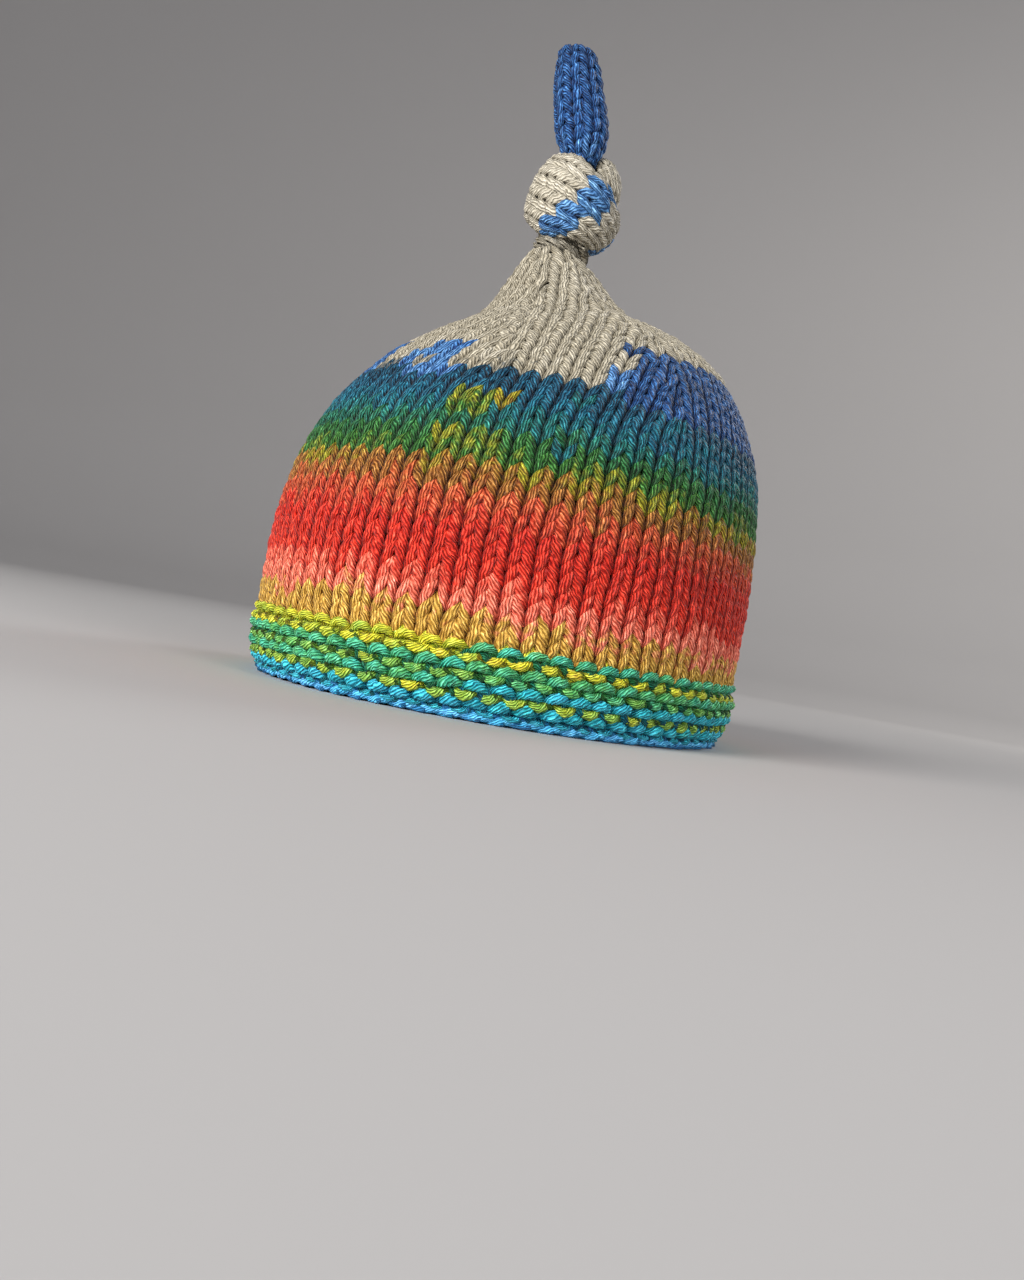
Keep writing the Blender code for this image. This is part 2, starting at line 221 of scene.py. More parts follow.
def yarn(name, mix=7.0, bright=1.2, fuzz=0.05, contrast=1.0):
    """Soft plied yarn, dyed in a run of colours: its plies wind round it, and painted highlights and painted
    shade on its ply ridges, grooves and fibres stand for the light they catch.
    """
    material = bpy.data.materials.new(name)
    material.use_nodes = True
    nodes = material.node_tree.nodes
    links = material.node_tree.links
    shader = nodes["Principled BSDF"]

    def math_node(operation, first, second=None, third=None):
        node = nodes.new("ShaderNodeMath")
        node.operation = operation
        for socket, value in zip(node.inputs, (first, second, third)):
            if value is None:
                continue
            if isinstance(value, (int, float)):
                socket.default_value = value
            else:
                links.new(value, socket)
        return node.outputs["Value"]

    def noise(scale, detail, place):
        node = nodes.new("ShaderNodeTexNoise")
        node.inputs["Scale"].default_value = scale
        node.inputs["Detail"].default_value = detail
        links.new(place, node.inputs["Vector"])
        return node.outputs["Fac"]

    def stored(kind):
        node = nodes.new("ShaderNodeAttribute")
        node.attribute_name = kind
        return node.outputs["Fac"]

    # The stitch's place in the dye run, blended a little into its neighbours'
    dye = stored("dye")
    body = nodes.new("ShaderNodeTexCoord").outputs["Object"]
    chart = nodes.new("ShaderNodeValToRGB")
    chart.color_ramp.interpolation = "LINEAR"
    stops = chart.color_ramp.elements
    while len(stops) < len(DYES):
        stops.new(0.5)
    for stop, (where, shade) in zip(stops, DYES):
        stop.position = (where - DYE_FIRST) / DYE_RUN
        stop.color = linear(shade)
    blended = math_node("MULTIPLY_ADD", noise(BLEND_SCALE, 2, body), mix, dye)
    share = math_node("MULTIPLY_ADD", blended, 1 / DYE_RUN, (-DYE_FIRST - mix / 2) / DYE_RUN)
    links.new(share, chart.inputs["Fac"])
    colour = chart.outputs["Color"]

    # Plies: waves that wind round the strand and waver a little
    strand_map = nodes.new("ShaderNodeUVMap")
    strand_map.uv_map = "strand"
    split = nodes.new("ShaderNodeSeparateXYZ")
    links.new(strand_map.outputs["UV"], split.inputs["Vector"])
    around, along = split.outputs["X"], split.outputs["Y"]
    wound = math_node("MULTIPLY", along, PLIES / PLY_LENGTH)
    even = math_node("MULTIPLY_ADD", around, PLIES, wound)
    phase = math_node("MULTIPLY_ADD", noise(WAVER_SCALE, 1, body), PLY_WAVER, even)
    wave = math_node("SINE", math_node("MULTIPLY", phase, 2 * math.pi))
    ridge = math_node("POWER", math_node("MULTIPLY_ADD", wave, 0.5, 0.5), PLY_ROUNDNESS)

    # Fibres: streaks that run along the plies
    fibre_place = nodes.new("ShaderNodeCombineXYZ")
    links.new(math_node("MULTIPLY", phase, FIBRE_STRETCH["phase"]), fibre_place.inputs["X"])
    links.new(math_node("MULTIPLY", along, FIBRE_STRETCH["along"]), fibre_place.inputs["Y"])
    links.new(math_node("MULTIPLY", dye, FIBRE_STRETCH["dye"]), fibre_place.inputs["Z"])
    fibres = noise(FIBRE_SCALE, 3, fibre_place.outputs["Vector"])

    # Painted light and shade: the grooves between plies and stitches get painted shade and are darker and
    # deeper in colour, the ply ridges get painted highlights and are lighter, the fibre streaks lighten and
    # darken at random as painted glints and shade, and the dye is mottled
    light = math_node("MULTIPLY_ADD", ridge, RIDGE_LIGHT, SHADE)
    light = math_node("MULTIPLY_ADD", stored("groove_shade"), GROOVE_LIGHT, light)
    light = math_node("MULTIPLY_ADD", fibres, FIBRE_LIGHT, math_node("SUBTRACT", light, FIBRE_LIGHT / 2))
    mottle = noise(MOTTLE_SCALE, 3, body)
    light = math_node("MULTIPLY_ADD", mottle, MOTTLE_LIGHT, math_node("SUBTRACT", light, MOTTLE_LIGHT / 2))

    # Undyed yarn is paler all through, so that the painted highlights and shade of its plies are weaker and
    # its plies show less
    tint = nodes.new("ShaderNodeSeparateColor")
    tint.mode = "HSV"
    links.new(colour, tint.inputs["Color"])
    strength = math_node("MINIMUM", math_node("MULTIPLY_ADD", tint.outputs[1], 0.8, 0.35), 1)
    light = math_node("MULTIPLY", light, math_node("MULTIPLY", strength, contrast))
    deepened = nodes.new("ShaderNodeGamma")
    links.new(colour, deepened.inputs["Color"])
    links.new(math_node("POWER", DEEPENING, math_node("MULTIPLY", light, -1)), deepened.inputs["Gamma"])
    shaded = nodes.new("ShaderNodeVectorMath")
    shaded.operation = "SCALE"
    links.new(deepened.outputs["Color"], shaded.inputs[0])
    links.new(math_node("MULTIPLY", math_node("POWER", BRIGHTENING, light), bright), shaded.inputs["Scale"])
    links.new(shaded.outputs["Vector"], shader.inputs["Base Color"])

    links.new(math_node("MULTIPLY_ADD", fibres, 0.3, 0.4), shader.inputs["Roughness"])
    shader.inputs["Specular IOR Level"].default_value = 0.28
    shader.inputs["Sheen Weight"].default_value = fuzz
    shader.inputs["Sheen Roughness"].default_value = 0.45
    shader.inputs["Sheen Tint"].default_value = SHEEN_TONE

    bump = nodes.new("ShaderNodeBump")
    bump.inputs["Distance"].default_value = PLY_DEPTH
    bump.inputs["Strength"].default_value = 1.0
    links.new(math_node("MULTIPLY_ADD", fibres, 0.35, ridge), bump.inputs["Height"])
    links.new(bump.outputs["Normal"], shader.inputs["Normal"])
    return material


def strand(name, sides, path):
    """A short length of yarn: a cylinder across whose rings are cut, sized, turned and moved along its path.

    A step of the path is how far across, up and out of the fabric, then how wide and how thick."""
    last = len(path) - 1
    bpy.ops.object.select_all(action="DESELECT")
    bpy.ops.mesh.primitive_cylinder_add(
        vertices=sides, radius=0.5, depth=last, rotation=(-math.pi / 2, 0, 0)
    )
    length = bpy.context.active_object
    length.name = name
    bpy.ops.object.transform_apply(location=False, rotation=True, scale=True)
    bpy.ops.object.mode_set(mode="EDIT")
    bpy.ops.mesh.select_mode(type="EDGE")
    bpy.ops.mesh.select_all(action="DESELECT")
    shape = bmesh.from_edit_mesh(length.data)
    for edge in shape.edges:
        edge.select_set(abs(edge.verts[0].co.y - edge.verts[1].co.y) > 0.5)
    bmesh.update_edit_mesh(length.data)
    bpy.ops.mesh.subdivide(number_cuts=last - 1)
    bpy.ops.mesh.select_mode(type="VERT")
    shape = bmesh.from_edit_mesh(length.data)
    shape.verts.ensure_lookup_table()
    rings = [[] for _ in path]
    for vertex in shape.verts:
        rings[round(vertex.co.y + last / 2)].append(vertex.index)
    middles = [Vector(step[:3]) for step in path]
    for i, (step, ring) in enumerate(zip(path, rings)):
        bpy.ops.mesh.select_all(action="DESELECT")
        shape = bmesh.from_edit_mesh(length.data)
        shape.verts.ensure_lookup_table()
        for k in ring:
            shape.verts[k].select_set(True)
        bmesh.update_edit_mesh(length.data)
        start = Vector((0, i - last / 2, 0))
        bpy.ops.transform.resize(value=(step[3], 1, step[4]), center_override=start)
        bpy.ops.transform.translate(value=middles[i] - start)
        run = middles[min(i + 1, last)] - middles[max(i - 1, 0)]
        turn = Vector((0, 1, 0)).rotation_difference(run).to_matrix()
        shape = bmesh.from_edit_mesh(length.data)
        shape.verts.ensure_lookup_table()
        for k in ring:
            shape.verts[k].co = middles[i] + turn @ (shape.verts[k].co - middles[i])
        bmesh.update_edit_mesh(length.data)
    bpy.ops.object.mode_set(mode="OBJECT")
    mesh = length.data
    points = np.array([vertex.co for vertex in mesh.vertices])
    corners = [list(face.vertices) for face in mesh.polygons]
    reach = sum((b - a).length for a, b in zip(middles, middles[1:]))
    flat = np.array([corner.uv for corner in mesh.uv_layers.active.data])
    flat[:, 1] = (flat[:, 1] - 0.5) * 2 * reach
    bpy.data.objects.remove(length)
    # Painted shade: the lower half of the strand, where it lies deep in the fabric, is darkened in the colour
    high = points[:, 2].max()
    groove_shade = np.clip((high - points[:, 2]) / high - 0.5, 0, 1)
    return {"points": points, "corners": corners, "flat": flat, "groove_shade": groove_shade}


def skin(rings):
    """A form that knitting lies on: its rings of points, and which way is out at each of them."""
    around = np.roll(rings, -1, 1) - np.roll(rings, 1, 1)
    up = np.gradient(rings, axis=0)
    outward = np.cross(around, up)
    outward /= np.maximum(np.linalg.norm(outward, axis=2, keepdims=True), 1e-12)
    return rings, outward


def on_skin(form, turn, ring, out):
    """The points of a form at these turns round it and these rings up it, lifted this far off it."""
    rings, outward = form
    last, count = rings.shape[0] - 1, rings.shape[1]
    column = (turn % 1) * count
    left = np.floor(column).astype(int) % count
    right = (left + 1) % count
    ring = np.clip(ring, 0, last - 1e-6)
    low = np.floor(ring).astype(int)
    across = (column - np.floor(column))[..., None]
    rise = (ring - low)[..., None]

    def blend(values):
        below = values[low, left] * (1 - across) + values[low, right] * across
        above = values[low + 1, left] * (1 - across) + values[low + 1, right] * across
        return below * (1 - rise) + above * rise

    return blend(rings) + blend(outward) * out[..., None]


def knitted(name, mesh, flat, dye, material):
    """A piece from its mesh, with the map that its plies follow and its place in the dye run."""
    mesh.uv_layers.new(name="strand").data.foreach_set("uv", flat.ravel())
    mesh.attributes.new("dye", "FLOAT", "POINT").data.foreach_set("value", dye.ravel())
    mesh.shade_smooth()
    mesh.materials.append(material)
    piece = bpy.data.objects.new(name, mesh)
    bpy.context.scene.collection.objects.link(piece)
    return piece


# Each length of yarn starts elsewhere in the twist, up to a whole turn round and this many metres along
TWIST_START = (1, 0.1)


def lay(name, template, points, dye, material):
    """One mesh of many copies of a strand, from every copy's points and the place of each in the dye run."""
    copies, size = points.shape[:2]
    corners = template["corners"]
    order = np.concatenate(corners)
    sizes = np.array([len(face) for face in corners])
    starts = np.concatenate([[0], np.cumsum(sizes)[:-1]])
    points = points.reshape(-1, 3).copy()
    points[:, 2] = np.maximum(points[:, 2], 0)
    number = np.arange(copies)[:, None]
    mesh = bpy.data.meshes.new(name)
    mesh.vertices.add(copies * size)
    mesh.vertices.foreach_set("co", points.ravel())
    mesh.loops.add(copies * len(order))
    mesh.loops.foreach_set("vertex_index", (order[None] + number * size).ravel())
    mesh.polygons.add(copies * len(corners))
    mesh.polygons.foreach_set("loop_start", (starts[None] + number * len(order)).ravel())
    mesh.update(calc_edges=True)
    flat = template["flat"][None] + RANDOM.random((copies, 1, 2)) * TWIST_START
    piece = knitted(name, mesh, flat, np.repeat(dye, size), material)
    groove_shade = np.tile(template["groove_shade"], copies)
    mesh.attributes.new("groove_shade", "FLOAT", "POINT").data.foreach_set("value", groove_shade)
    return piece


def swung(points, swing, tall=1):
    """How far across and up each point of every copy is, once the copies are turned in the fabric."""
    across = points[None, :, 0] * np.cos(swing) - points[None, :, 1] * np.sin(swing)
    up = points[None, :, 0] * np.sin(swing) + points[None, :, 1] * np.cos(swing) * tall
    return across, up


# The cast-on rounds stand on the rim's foot, a little in from the ridges above them
RIDGE_DEPTH = 0.0014
BRIM_GIRTH = ((0.00, 0.960), (0.18, 0.982), (0.38, 0.995), (0.60, 1.000), (0.82, 1.000), (1.00, 0.994))
BRIM_RING = 0.001
BRIM_OVERLAP = 0.004
ROUND_POINTS = STITCHES * 4


def brim_rings(inset):
    """Rings of the brim a millimetre apart, from the surface it rests on to just over its top."""
    heights = np.arange(0, BRIM_TOP + BRIM_OVERLAP, BRIM_RING)
    rise = np.clip((heights - BRIM_FOOT) / (BRIM_TOP - BRIM_FOOT), 0, 1)
    girth = np.interp(rise, *zip(*BRIM_GIRTH))[:, None]
    angle = 2 * math.pi * np.arange(ROUND_POINTS) / ROUND_POINTS
    x = (girth * RIM_WIDTH / 2 - RIDGE_DEPTH - inset) * np.cos(angle)
    y = (girth * RIM_DEPTH / 2 - RIDGE_DEPTH - inset) * np.sin(angle)
    return np.stack([x, y, np.broadcast_to(heights[:, None], x.shape)], 2)


def brim_round(form, template, turns, rings, uneven):
    """One round of strands on the brim, each at its turn and ring, and uneven in tilt, lift and girth."""
    across, up = swung(template["points"], RANDOM.normal(0, uneven["tilt"], (STITCHES, 1)))
    lift = RANDOM.normal(0, uneven["lift"], (STITCHES, 1))
    out = template["points"][None, :, 2] * RANDOM.normal(1, uneven["girth"], (STITCHES, 1)) + lift
    turn = turns[:, None] + across / (STITCH * STITCHES)
    return on_skin(form, turn, rings[:, None] + up / BRIM_RING, out)


CAST_ON_LENGTH = (
    (-0.0068, 0.0002, -0.0014, 0.0016, 0.0014),
    (-0.0046, 0.0004, 0.0000, 0.0026, 0.0024),
    (-0.0020, 0.0007, 0.0008, 0.0030, 0.0028),
    (0.0010, 0.0012, 0.0009, 0.0031, 0.0028),
    (0.0038, 0.0019, 0.0003, 0.0027, 0.0024),
    (0.0060, 0.0027, -0.0013, 0.0016, 0.0014),
)
EDGE_UNEVEN = {"turn": 0.0006, "tilt": 0.05, "lift": 0.0001, "girth": 0.05}
EDGE_START = 0.3
EDGE_RING = 1.0
EDGE_DYES = 2
OUTSIDE_INSET = 0.0016
INSIDE_INSET = 0.0011
brim_outside = skin(brim_rings(OUTSIDE_INSET))
brim_inside = skin(brim_rings(INSIDE_INSET)[:, ::-1])
cast_on_strand = strand("cast_on_strand", 8, CAST_ON_LENGTH)
edge_points = []
for form in (brim_outside, brim_inside):
    turns = (np.arange(STITCHES) + EDGE_START) / STITCHES + RANDOM.normal(0, EDGE_UNEVEN["turn"], STITCHES)
    edge_points.append(brim_round(form, cast_on_strand, turns, np.full(STITCHES, EDGE_RING), EDGE_UNEVEN))
edge_dye = DYE_FIRST + RANDOM.random(2 * STITCHES) * EDGE_DYES
edge_yarn = yarn("sky_blue_yarn", mix=2.0, bright=1.6, contrast=0.6)
cast_on_chain = lay("cast_on_chain", cast_on_strand, np.concatenate(edge_points), edge_dye, edge_yarn)
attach(cast_on_chain, "root")
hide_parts("cast_on_edge")


# Garter brim: eight rounds, knitted and purled in turn, so that their loops stand out in four ridges. Each
# ridge is a line of arches over the stitches and of hanging loops between them, outside and inside alike.
ARCH = (
    (-0.0042, -0.0019, -0.0013, 0.0017, 0.0016),
    (-0.0034, -0.0008, 0.0000, 0.0027, 0.0026),
    (-0.0018, 0.0002, 0.0013, 0.0031, 0.0031),
    (0.0000, 0.0005, 0.0017, 0.0032, 0.0033),
    (0.0018, 0.0002, 0.0013, 0.0031, 0.0031),
    (0.0034, -0.0008, 0.0000, 0.0027, 0.0026),
    (0.0042, -0.0019, -0.0013, 0.0017, 0.0016),
)
HANGING = (-0.96, -0.85, 0.95)
HANGING_DROP = (0, 0, -0.0001)
arch = strand("arch", 8, ARCH)
loop = {**arch, "points": arch["points"] * HANGING + HANGING_DROP}

# Each ridge's shades: of its arches, of its hanging loops, and of both where they change at the hat's front
RIDGE_DYES = (
    {"high": 0.0059, "low": 0.0034, "arch": -15.2, "loop": -14.6, "other_arch": -14.8, "other_loop": -15.6},
    {"high": 0.0108, "low": 0.0084, "arch": -9.9, "loop": -5.6, "other_arch": -14.2, "other_loop": -5.2},
    {"high": 0.0160, "low": 0.0135, "arch": -9.9, "loop": -6.6, "other_arch": -9.3, "other_loop": -7.9},
    {"high": 0.0216, "low": 0.0187, "arch": -3.4, "loop": -3.6, "other_arch": -9.9, "other_loop": -3.6},
)
RIDGE_UNEVEN = {"turn": 0.0005, "ring": 0.15, "tilt": 0.07, "lift": 0.00012, "girth": 0.06, "dye": 0.65}
CHANGE_TURN = -67 / 360
INSIDE_SUNK = 0.0012


def garter(form, turn_sign, sunk):
    """The arches and loops of all the ridges on one face of the brim, with their dyes."""
    laid, dyes = [], []
    for shades in RIDGE_DYES:
        for template, key, shift, level in ((arch, "arch", 0.0, "high"), (loop, "loop", 0.5, "low")):
            turns = (np.arange(STITCHES) + shift) / STITCHES
            strayed = turns + RANDOM.normal(0, RIDGE_UNEVEN["turn"], STITCHES)
            rings = np.full(STITCHES, (shades[level] - sunk) / BRIM_RING)
            rings = rings + RANDOM.normal(0, RIDGE_UNEVEN["ring"], STITCHES)
            laid.append(brim_round(form, template, strayed, rings, RIDGE_UNEVEN))
            seen = (turns * turn_sign - CHANGE_TURN + 0.5) % 1 < 0.5
            dye = np.where(seen, shades[key], shades["other_" + key])
            dyes.append(dye + RANDOM.normal(0, RIDGE_UNEVEN["dye"], STITCHES))
    return np.concatenate(laid), np.concatenate(dyes)


brim_yarn = yarn("turquoise_yarn", mix=3.6, bright=1.18, contrast=0.88)
outer_points, outer_dye = garter(brim_outside, 1, 0)
garter_ridges = lay("garter_ridges", arch, outer_points, outer_dye, brim_yarn)
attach(garter_ridges, "root")
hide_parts("garter_brim")
inner_points, inner_dye = garter(brim_inside, -1, INSIDE_SUNK)
garter_inside = lay("garter_inside", arch, inner_points, inner_dye, brim_yarn)
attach(garter_inside, "root")

# The body of the brim, behind its loops: how far in it lies, how its map is scaled, and how far up each
# shade comes
OUTER_WALL_INSET = 0.0010
INNER_WALL_INSET = 0.0018
WALL_STEP = 0.001
WALL_PLIES = 0.7
WALL_DYES = ((0.003, -19.0), (0.008, -15.0), (0.012, -10.0), (0.017, -7.0), (0.021, -3.0))


def wall(name, rings, dye, material):
    """A closed wall of knitting behind the stitches, from rings up its outer side and down its inner side."""
    count, around = rings.shape[:2]
    ring, side = np.meshgrid(np.arange(count), np.arange(around), indexing="ij")
    next_ring, next_side = (ring + 1) % count, (side + 1) % around
    low, high = ring * around, next_ring * around
    faces = np.stack([low + side, low + next_side, high + next_side, high + side], 2).reshape(-1, 4)
    points = rings.reshape(-1, 3).copy()
    points[:, 2] = np.maximum(points[:, 2], 0)
    mesh = bpy.data.meshes.new(name)
    mesh.from_pydata(points.tolist(), [], faces.tolist())
    turn = np.stack([side, side + 1, side + 1, side], 2).reshape(-1) * (STITCHES / around) * WALL_PLIES
    run = np.stack([ring, ring, ring + 1, ring + 1], 2).reshape(-1) * WALL_STEP
    return knitted(name, mesh, np.stack([turn, run], 1), dye, material)


outer_wall = brim_rings(OUTER_WALL_INSET)
inner_wall = brim_rings(INNER_WALL_INSET)[::-1]
brim_wall_rings = np.concatenate([outer_wall[1:-3], inner_wall[3:-1]])
wall_dye = np.interp(brim_wall_rings[:, :, 2], *zip(*WALL_DYES))
# Painted shade: the fabric behind the stitches, the tubes' cores and the purl side are the same dyed yarn at
# about half brightness, as they lie in the stitches' shade
shade_yarn = yarn("shaded_inner_yarn", bright=0.55, fuzz=0.1)
brim_wall = wall("brim_fabric", brim_wall_rings, wall_dye, shade_yarn)
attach(brim_wall, "root")


# Crown: stockinette, seventy-two stitches a round, drawn in from the fifteenth round on along eight lines,
# and up into the peak and its narrow neck. Each stitch is a V of two legs that comes out through the stitch
# below it.
NECK_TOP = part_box("peak")[1].z
CROWN_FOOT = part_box("crown")[0].z
CROWN_TOP = 0.141
CROWN_LEAN = 0.0045
CROWN_THICKNESS = 0.0045
SHOULDER_SLACK = 0.009
SLACK_LIFT = 1.5
NECK_DIAMETER = 0.0215
NECK_OFFSET = 0.0065
NECK_WALL = 0.0038
GATHERS = 8
GATHER_DEPTH = 0.0011
LEAN_ANGLE = math.radians(25)
SLACK_ANGLE = math.radians(20)
LEAN_LINE = np.array((math.cos(LEAN_ANGLE), math.sin(LEAN_ANGLE), 0))
AWAY_LINE = np.array((-math.sin(LEAN_ANGLE), math.cos(LEAN_ANGLE), 0))
CROWN_STEPS = 240
PEAK_STEPS = 120

# Share of the way up, width, depth, lean and slack
CROWN_FORM = np.array((
    (0.000, 0.985, 0.985, 0.00, 0.00),
    (0.110, 0.988, 0.988, 0.00, 0.00),
    (0.250, 0.986, 0.985, 0.05, 0.00),
    (0.390, 0.970, 0.966, 0.20, 0.00),
    (0.500, 0.945, 0.936, 0.45, 0.02),
    (0.590, 0.913, 0.898, 0.70, 0.06),
    (0.665, 0.873, 0.850, 0.90, 0.14),
    (0.732, 0.820, 0.790, 1.00, 0.30),
    (0.800, 0.750, 0.714, 1.00, 0.55),
    (0.858, 0.670, 0.630, 0.92, 0.80),
    (0.910, 0.580, 0.540, 0.75, 1.00),
    (0.956, 0.488, 0.448, 0.50, 1.00),
    (1.000, 0.400, 0.362, 0.25, 0.85),
))
# Share of the way up, flare and gather
PEAK_FORM = np.array((
    (0.00, 1.00, 0.0),
    (0.08, 0.87, 0.2),
    (0.18, 0.74, 0.5),
    (0.32, 0.60, 0.8),
    (0.49, 0.46, 1.0),
    (0.66, 0.32, 1.0),
    (0.84, 0.17, 0.8),
    (1.00, 0.00, 0.5),
))


def flowing(form, at):
    """The columns of a table as smooth curves without overshoot, read at these shares of the way up."""
    x, values = form[:, 0], form[:, 1:]
    steep = np.diff(values, axis=0) / np.diff(x)[:, None]
    both = steep[:-1] * steep[1:]
    total = steep[:-1] + steep[1:]
    between = np.where(both > 0, 2 * both / np.where(total == 0, 1, total), 0)
    slope = np.vstack([steep[:1], between, steep[-1:]])
    i = np.clip(np.searchsorted(x, at, side="right") - 1, 0, len(x) - 2)
    step = (x[i + 1] - x[i])[:, None]
    t = ((at - x[i])[:, None]) / step
    start, end = values[i], values[i + 1]
    curve = (2 * t**3 - 3 * t**2 + 1) * start + (3 * t**2 - 2 * t**3) * end
    return curve + step * ((t**3 - 2 * t**2 + t) * slope[i] + (t**3 - t**2) * slope[i + 1])


def swell(rings, amount, angle):
    """Push rings out and up on the side where the knitting is slack."""
    away = np.stack([np.cos(angle), np.sin(angle), np.full_like(angle, SLACK_LIFT)], 1)
    away /= np.linalg.norm(away, axis=1, keepdims=True)
    side = ((1 + np.cos(angle - SLACK_ANGLE)) / 2) ** 2
    return rings + amount[:, None, None] * (away * side[:, None])[None]


def ovals(width, depth, height, centre, angle):
    """Level rings of these half widths and half depths, one at each height."""
    x = centre[:, :1] + width[:, None] * np.cos(angle)
    y = centre[:, 1:2] + depth[:, None] * np.sin(angle)
    return np.stack([x, y, np.broadcast_to(height[:, None], x.shape)], 2)


def crown_and_peak(count):
    """Rings close together from the brim to the neck."""
    angle = 2 * math.pi * np.arange(count) / count
    rise = np.linspace(0, 1, CROWN_STEPS + 1)
    width, depth, lean, slack = flowing(CROWN_FORM, rise).T
    width, depth = width * RIM_WIDTH / 2, depth * RIM_DEPTH / 2
    height = CROWN_FOOT + rise * (CROWN_TOP - CROWN_FOOT)
    centre = LEAN_LINE[None] * (CROWN_LEAN * lean)[:, None]
    crown = swell(ovals(width, depth, height, centre, angle), SHOULDER_SLACK * slack, angle)
    peak_rise = np.linspace(0, 1, PEAK_STEPS + 1)[1:]
    flare, gather = flowing(PEAK_FORM, peak_rise).T
    neck = NECK_DIAMETER / 2
    peak_centre = centre[-1:] * flare[:, None] - LEAN_LINE[None] * (NECK_OFFSET * (1 - flare))[:, None]
    peak = ovals(
        neck + flare * (width[-1] - neck), neck + flare * (depth[-1] - neck),
        CROWN_TOP + peak_rise * (NECK_TOP - CROWN_TOP), peak_centre, angle,
    )
    peak = swell(peak, SHOULDER_SLACK * slack[-1] * flare**2, angle)
    away = peak - peak.mean(1, keepdims=True)
    away /= np.linalg.norm(away, axis=2, keepdims=True)
    fold = (np.cos(GATHERS * angle) - 1) / 2 * GATHER_DEPTH
    peak = peak + away * (gather[:, None] * fold[None])[..., None]
    return np.concatenate([crown, peak])


def evened(rings, spacing, before, after):
    """The rings again, this far apart by the mean way up, and carried on straight past both ends."""
    steps = np.linalg.norm(np.diff(rings, axis=0), axis=2).mean(1)
    climb = np.concatenate([[0], np.cumsum(steps)])
    wanted = np.arange(-before, math.ceil(climb[-1] / spacing) + after + 1) * spacing
    inner = np.clip(wanted, 0, climb[-1])
    low = np.clip(np.searchsorted(climb, inner, side="right") - 1, 0, len(climb) - 2)
    share = ((inner - climb[low]) / (climb[low + 1] - climb[low]))[:, None, None]
    found = rings[low] * (1 - share) + rings[low + 1] * share
    foot = (rings[3] - rings[0]) / (climb[3] - climb[0])
    head = (rings[-1] - rings[-4]) / (climb[-1] - climb[-4])
    past = (wanted - inner)[:, None, None]
    return found + np.where(past < 0, foot[None], head[None]) * past, climb[-1]


# The crown's form has four rings to a row, and a few more past both its ends
FINE = 4
BEFORE = 8
crown_rings, crown_climb = evened(crown_and_peak(ROUND_POINTS), ROW / FINE, BEFORE, BEFORE)
crown_form = skin(crown_rings)
ROWS = int(crown_climb / ROW)
ring_rows = (np.arange(len(crown_rings)) - BEFORE) / FINE
PEAK_ROW = np.interp(CROWN_TOP, crown_rings[:, :, 2].mean(1), ring_rows)

# Eight gores between the lines of decreases. From this round on each has as many stitches as its girth has
# room for, and a stitch is a little narrower there.
GORES = 8
GORE_START = -76 / 360
DRAWN_IN = 15
DRAWN_STITCH = 0.0074
DRAWN_GROWTH = 0.0005
DRAWN_ROWS = 8
GORE_FULL = STITCHES / GORES
girths = np.linalg.norm(np.roll(crown_rings, -1, 1) - crown_rings, axis=2).sum(1)
tighter = DRAWN_STITCH + DRAWN_GROWTH * np.clip((ring_rows - DRAWN_IN) / DRAWN_ROWS, 0, 1)
room = np.where(ring_rows < DRAWN_IN - 1, GORE_FULL, girths / (GORES * tighter))
gore_stitches = np.minimum.accumulate(np.clip(room, 1, GORE_FULL))

LEG = (
    (0.00045, -0.0052, -0.0003, 0.0022, 0.0016),
    (0.00110, -0.0034, 0.0003, 0.0031, 0.0021),
    (0.00190, -0.0014, 0.0006, 0.0036, 0.0023),
    (0.00275, 0.0006, 0.0005, 0.0037, 0.0023),
    (0.00355, 0.0027, 0.0000, 0.0034, 0.0020),
    (0.00425, 0.0048, -0.0012, 0.0024, 0.0014),
)
SUNK = 0.00175
LEG_MIDDLE = -0.0004

# The painted shade between a stitch's legs and beside it: how far from its middle, how wide and how deep
VALLEY_SHADE = {"width": 0.0009, "depth": 0.8}
BORDER_SHADE = {"start": 0.0036, "width": 0.0012, "depth": 0.6}
OTHER_LEG_TWIST = (0.37, 0.021)

# Columns of stitches are never quite straight: a share of a turn, and how quickly they wander up and round
WANDER = 0.0005
WANDERS = ((0.8, 37), (0.41, -91))

# The first round comes up from behind the brim's top ridge
FOOT_ROW = -0.22
TUCK = 0.0024
TUCK_TOP = 0.3


def whole_stitch(leg):
    """A stitch from its right leg and that leg's mirror image, with the twist the same way round in both."""
    points = np.vstack([leg["points"], leg["points"] * (-1, 1, 1)])
    size = len(leg["points"])
    back, end = [], 0
    for face in leg["corners"]:
        back.extend(range(end + len(face) - 1, end - 1, -1))
        end += len(face)
    corners = leg["corners"] + [[k + size for k in reversed(face)] for face in leg["corners"]]
    flat = np.vstack([leg["flat"], leg["flat"][back] * (-1, 1) + OTHER_LEG_TWIST])
    # Painted shade: the colour is darkened along the V between the legs and towards the stitch's sides, where
    # the legs meet their neighbours in shade
    beside = np.abs(points[:, 0])
    valley_shade = np.clip(1 - beside / VALLEY_SHADE["width"], 0, 1) * VALLEY_SHADE["depth"]
    border_shade = np.clip((beside - BORDER_SHADE["start"]) / BORDER_SHADE["width"], 0, 1) * BORDER_SHADE["depth"]
    return {"points": points, "corners": corners, "flat": flat, "groove_shade": np.maximum(valley_shade, border_shade)}


stitch = whole_stitch(strand("leg", 8, LEG))

